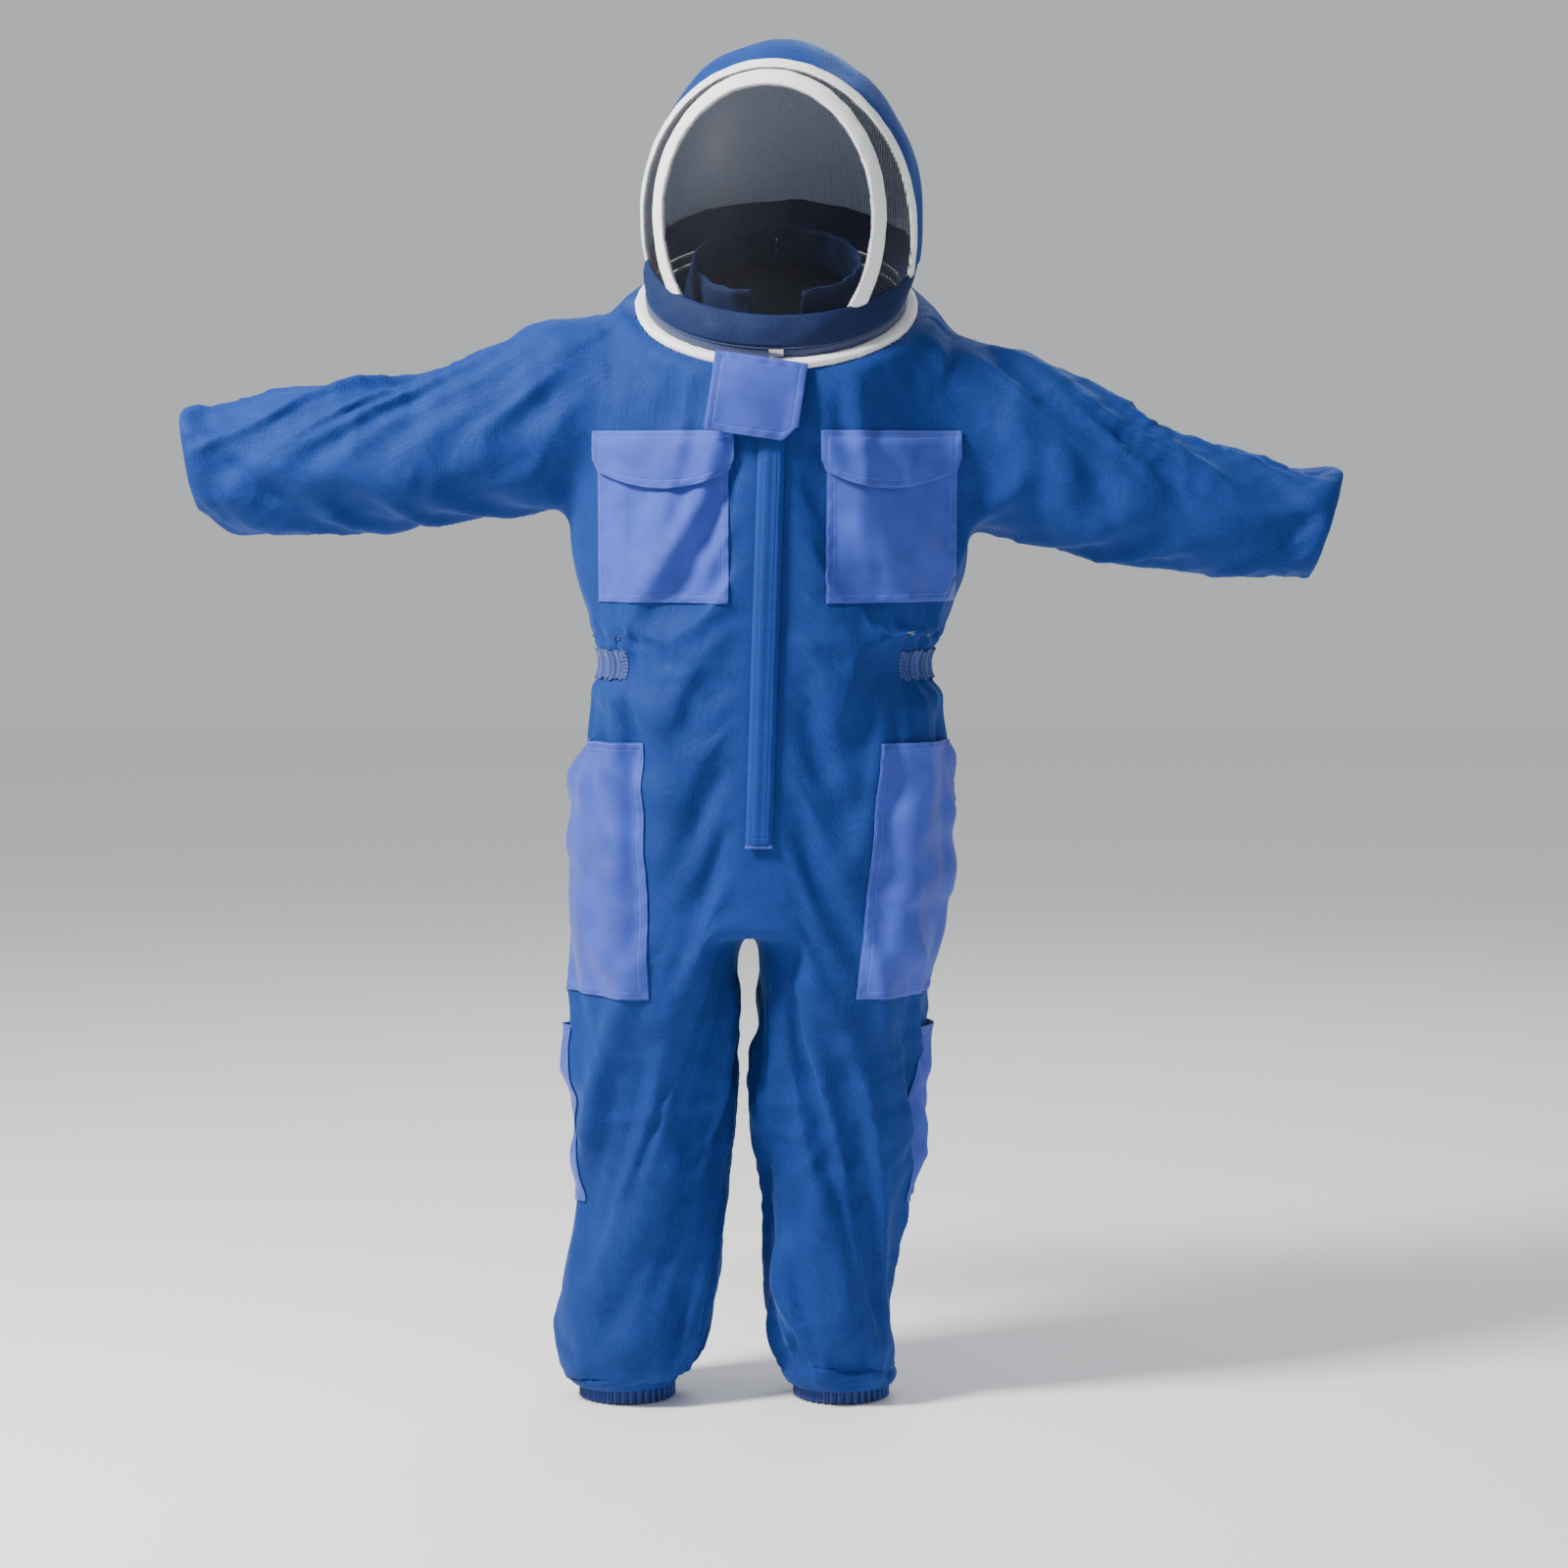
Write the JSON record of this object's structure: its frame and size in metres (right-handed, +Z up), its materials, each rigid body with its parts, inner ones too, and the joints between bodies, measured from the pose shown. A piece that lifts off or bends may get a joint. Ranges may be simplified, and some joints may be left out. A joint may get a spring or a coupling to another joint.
{
  "type": "beekeeping suit",
  "caption": "Full-length ventilated beekeeping coverall with attached veiled hood, front zip under a storm flap, patch pockets and elasticated cuffs.",
  "frame": {"origin": "on the trunk's axis at the height of the neck ring's centre, level with the wearer's shoulders", "axes": "+Z up the wearer, -Y to the wearer's front, +X to the wearer's left"},
  "size_m": [1.4421, 0.3533, 1.6829],
  "materials": {
    "air_mesh": "three-layer ventilated mesh, matt",
    "poplin": "woven poly-cotton",
    "hook_tape": "hook-and-loop pile",
    "white_binding": "folded woven binding",
    "veil_net": "black knitted net",
    "navy_cloth": "dark navy mesh cloth",
    "elastic": "gathered elastic rib",
    "zip_tape": "nylon coil zip tape",
    "zip_metal": "nickel-plated zip slider"
  },
  "bodies": {
    "trunk": {"front_panel_right": "air_mesh", "front_panel_left": "air_mesh", "back_panel_lower": "air_mesh", "back_panel_upper": "air_mesh", "waist_elastic_right": "elastic", "waist_elastic_left": "elastic", "seat_right": "air_mesh", "seat_left": "air_mesh", "crotch_gusset": "air_mesh", "chest_pocket_right": "poplin", "chest_pocket_left": "poplin", "pocket_loop_tape_right": "hook_tape", "pocket_loop_tape_left": "hook_tape", "storm_flap": "air_mesh", "storm_flap_bartack": "poplin", "zip_chain": "zip_tape", "neck_binding": "white_binding", "neck_facing": "navy_cloth", "stand_collar_right": "air_mesh", "stand_collar_left": "air_mesh", "hood_zip_tape_lower": "zip_tape", "sleeve_head_right": "air_mesh", "sleeve_head_left": "air_mesh", "thigh_top_right": "air_mesh", "thigh_top_left": "air_mesh", "hip_pocket_right": "poplin", "hip_pocket_left": "poplin"},
    "hood": {"hood_crown": "air_mesh", "crown_hoop": "white_binding", "side_veil": "veil_net", "face_hoop": "white_binding", "face_veil": "veil_net", "hood_yoke": "navy_cloth", "hood_zip_chain": "zip_tape"},
    "neck_flap": {"neck_flap": "poplin"},
    "zip_slider": {"zip_slider": "zip_metal"},
    "hood_zip_slider": {"hood_zip_slider": "zip_metal"},
    "chest_flap_right": {"chest_flap_right": "poplin"},
    "upper_arm_right": {"upper_sleeve_right": "air_mesh", "elbow_right": "air_mesh"},
    "forearm_right": {"forearm_right": "air_mesh", "wrist_cuff_right": "elastic"},
    "thigh_right": {"thigh_right": "air_mesh", "knee_right": "air_mesh", "tool_pocket_right": "poplin"},
    "shin_right": {"shin_right": "air_mesh", "ankle_cuff_right": "elastic"},
    "chest_flap_left": {"chest_flap_left": "poplin"},
    "upper_arm_left": {"upper_sleeve_left": "air_mesh", "elbow_left": "air_mesh"},
    "forearm_left": {"forearm_left": "air_mesh", "wrist_cuff_left": "elastic"},
    "thigh_left": {"thigh_left": "air_mesh", "knee_left": "air_mesh", "tool_pocket_left": "poplin"},
    "shin_left": {"shin_left": "air_mesh", "ankle_cuff_left": "elastic"}
  },
  "joints": [
    {"name": "hood_tip", "type": "hinge", "parent": "trunk", "child": "hood", "pos_m": [0.01151, 0.14641, 0.09592], "axis": [-1, 0, 0], "range_deg": [0, 95]},
    {"name": "neck_flap_lift", "type": "hinge", "parent": "hood", "child": "neck_flap", "pos_m": [-0.00549, -0.16162, -0.06464], "axis": [-0.989, 0, 0.1478], "range_deg": [0, 100]},
    {"name": "main_zip", "type": "slide", "parent": "trunk", "child": "zip_slider", "axis": [-0.032, 0, -0.9995], "range_m": [0, 0.49]},
    {"name": "hood_zip", "type": "hinge", "parent": "trunk", "child": "hood_zip_slider", "pos_m": [0.01151, 0, 0], "axis": [0, -0.454, 0.891], "range_deg": [0, 330]},
    {"name": "chest_flap_lift_right", "type": "hinge", "parent": "trunk", "child": "chest_flap_right", "pos_m": [-0.13147, -0.14726, -0.152], "axis": [-0.9446, 0.3283, 0], "range_deg": [0, 100]},
    {"name": "shoulder_right", "type": "hinge", "parent": "trunk", "child": "upper_arm_right", "pos_m": [-0.22826, 0, -0.118], "axis": [0, -1, 0], "range_deg": [-35, 18], "deforming": ["sleeve_head_right"]},
    {"name": "elbow_right", "type": "hinge", "parent": "upper_arm_right", "child": "forearm_right", "pos_m": [-0.46004, 0, -0.15679], "axis": [-0.165, 0, 0.9863], "range_deg": [0, 70], "deforming": ["elbow_right"]},
    {"name": "hip_right", "type": "hinge", "parent": "trunk", "child": "thigh_right", "pos_m": [-0.15, 0, -0.718], "axis": [-1, 0, 0], "range_deg": [-15, 38], "deforming": ["seat_right", "thigh_top_right", "hip_pocket_right"]},
    {"name": "knee_right", "type": "hinge", "parent": "thigh_right", "child": "shin_right", "pos_m": [-0.15, 0, -1.001], "axis": [1, 0, 0], "range_deg": [0, 55], "deforming": ["knee_right", "tool_pocket_right"]},
    {"name": "chest_flap_lift_left", "type": "hinge", "parent": "trunk", "child": "chest_flap_left", "pos_m": [0.15286, -0.14308, -0.152], "axis": [-0.9207, -0.3903, 0], "range_deg": [0, 100]},
    {"name": "shoulder_left", "type": "hinge", "parent": "trunk", "child": "upper_arm_left", "pos_m": [0.24329, 0, -0.132], "axis": [0, 1, 0], "range_deg": [-35, 18], "deforming": ["sleeve_head_left"]},
    {"name": "elbow_left", "type": "hinge", "parent": "upper_arm_left", "child": "forearm_left", "pos_m": [0.46802, 0, -0.20071], "axis": [-0.2924, 0, -0.9563], "range_deg": [0, 70], "deforming": ["elbow_left"]},
    {"name": "hip_left", "type": "hinge", "parent": "trunk", "child": "thigh_left", "pos_m": [0.1, 0, -0.718], "axis": [-1, 0, 0], "range_deg": [-15, 38], "deforming": ["seat_left", "thigh_top_left", "hip_pocket_left"]},
    {"name": "knee_left", "type": "hinge", "parent": "thigh_left", "child": "shin_left", "pos_m": [0.1, 0, -1.001], "axis": [1, 0, 0], "range_deg": [0, 55], "deforming": ["knee_left", "tool_pocket_left"]}
  ]
}
